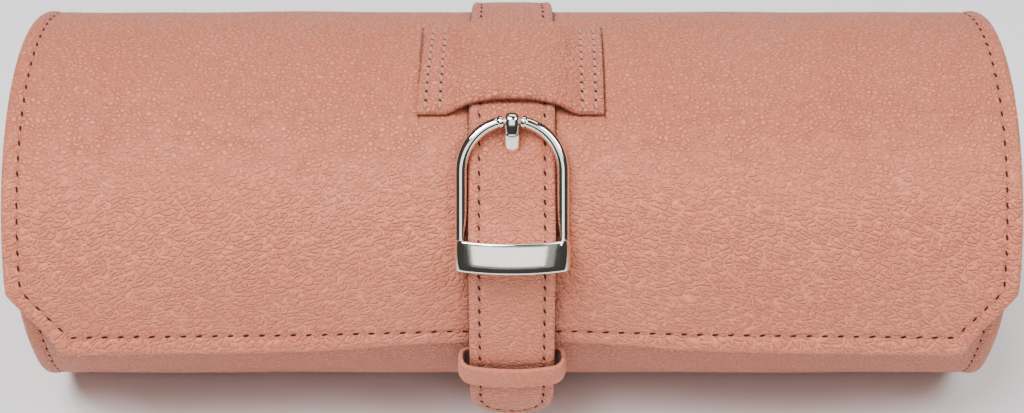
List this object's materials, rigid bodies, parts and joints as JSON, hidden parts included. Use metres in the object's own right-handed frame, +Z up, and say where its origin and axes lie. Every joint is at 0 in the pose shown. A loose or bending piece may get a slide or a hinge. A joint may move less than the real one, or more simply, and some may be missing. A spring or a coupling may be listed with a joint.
{
  "type": "watch roll",
  "caption": "Cylindrical leather watch roll: a lined trough with removable cushions under a wrap-over flap, closed by a strap, loop, keeper and pronged buckle.",
  "frame": {"origin": "centre of the flat foot, straight under the roll's axis and at mid-length", "axes": "+X along the roll, -Y the front where the flap closes, +Z up from the foot"},
  "size_m": [0.231, 0.0994, 0.0927],
  "materials": {
    "outer_leather": "pebbled, satin",
    "lining": "matte suede-like lining",
    "board": "raw fibreboard",
    "metal": "polished nickel",
    "cushion_fabric": "soft matte velour",
    "foam": "open-cell foam"
  },
  "bodies": {
    "base": {"base_leather": "outer_leather", "base_board": "board", "base_lining": "lining", "wrap_fold": "outer_leather", "end_leather_left": "outer_leather", "end_board_left": "board", "end_leather_right": "outer_leather", "end_board_right": "board", "divider_1": "lining", "divider_2": "lining", "divider_3": "lining", "buckle_strap_anchor": "outer_leather"},
    "flap": {"flap_leather": "outer_leather", "flap_board": "board", "flap_lining": "lining", "strap_loop": "outer_leather", "strap_backing": "outer_leather", "strap_face": "outer_leather"},
    "buckle_strap": {"buckle_strap": "outer_leather", "buckle_frame": "metal"},
    "prong": {"prong": "metal"},
    "keeper": {"keeper_loop": "outer_leather"},
    "cushion_1": {"cushion_1_cover": "cushion_fabric", "cushion_1_core": "foam"},
    "cushion_2": {"cushion_2_cover": "cushion_fabric", "cushion_2_core": "foam"},
    "cushion_3": {"cushion_3_cover": "cushion_fabric", "cushion_3_core": "foam"},
    "cushion_4": {"cushion_4_cover": "cushion_fabric", "cushion_4_core": "foam"}
  },
  "joints": [
    {"name": "flap_hinge", "type": "hinge", "parent": "base", "child": "flap", "pos_m": [0, 0.04432, 0.03579], "axis": [-1, 0, 0], "range_deg": [0, 145], "deforming": ["strap_face", "strap_backing", "wrap_fold"]},
    {"name": "buckle_strap_swing", "type": "hinge", "parent": "base", "child": "buckle_strap", "pos_m": [0, -0.03706, 0.01568], "axis": [1, 0, 0], "range_deg": [0, 84]},
    {"name": "prong_lift", "type": "hinge", "parent": "buckle_strap", "child": "prong", "pos_m": [0, -0.02668, 0.08691], "axis": [-1, 0, 0], "range_deg": [0, 110]},
    {"name": "keeper_slide", "type": "slide", "parent": "buckle_strap", "child": "keeper", "axis": [0, 0.0698, -0.9976], "range_m": [0, 0.002]},
    {"name": "cushion_1_lift", "type": "slide", "parent": "base", "child": "cushion_1", "axis": [0, 0, 1], "range_m": [0, 0.024]},
    {"name": "cushion_2_lift", "type": "slide", "parent": "base", "child": "cushion_2", "axis": [0, 0, 1], "range_m": [0, 0.024]},
    {"name": "cushion_3_lift", "type": "slide", "parent": "base", "child": "cushion_3", "axis": [0, 0, 1], "range_m": [0, 0.024]},
    {"name": "cushion_4_lift", "type": "slide", "parent": "base", "child": "cushion_4", "axis": [0, 0, 1], "range_m": [0, 0.024]}
  ],
  "couplings": [
    {"joint": "buckle_strap_swing", "follows": "flap_hinge", "ratio": 0.575}
  ]
}
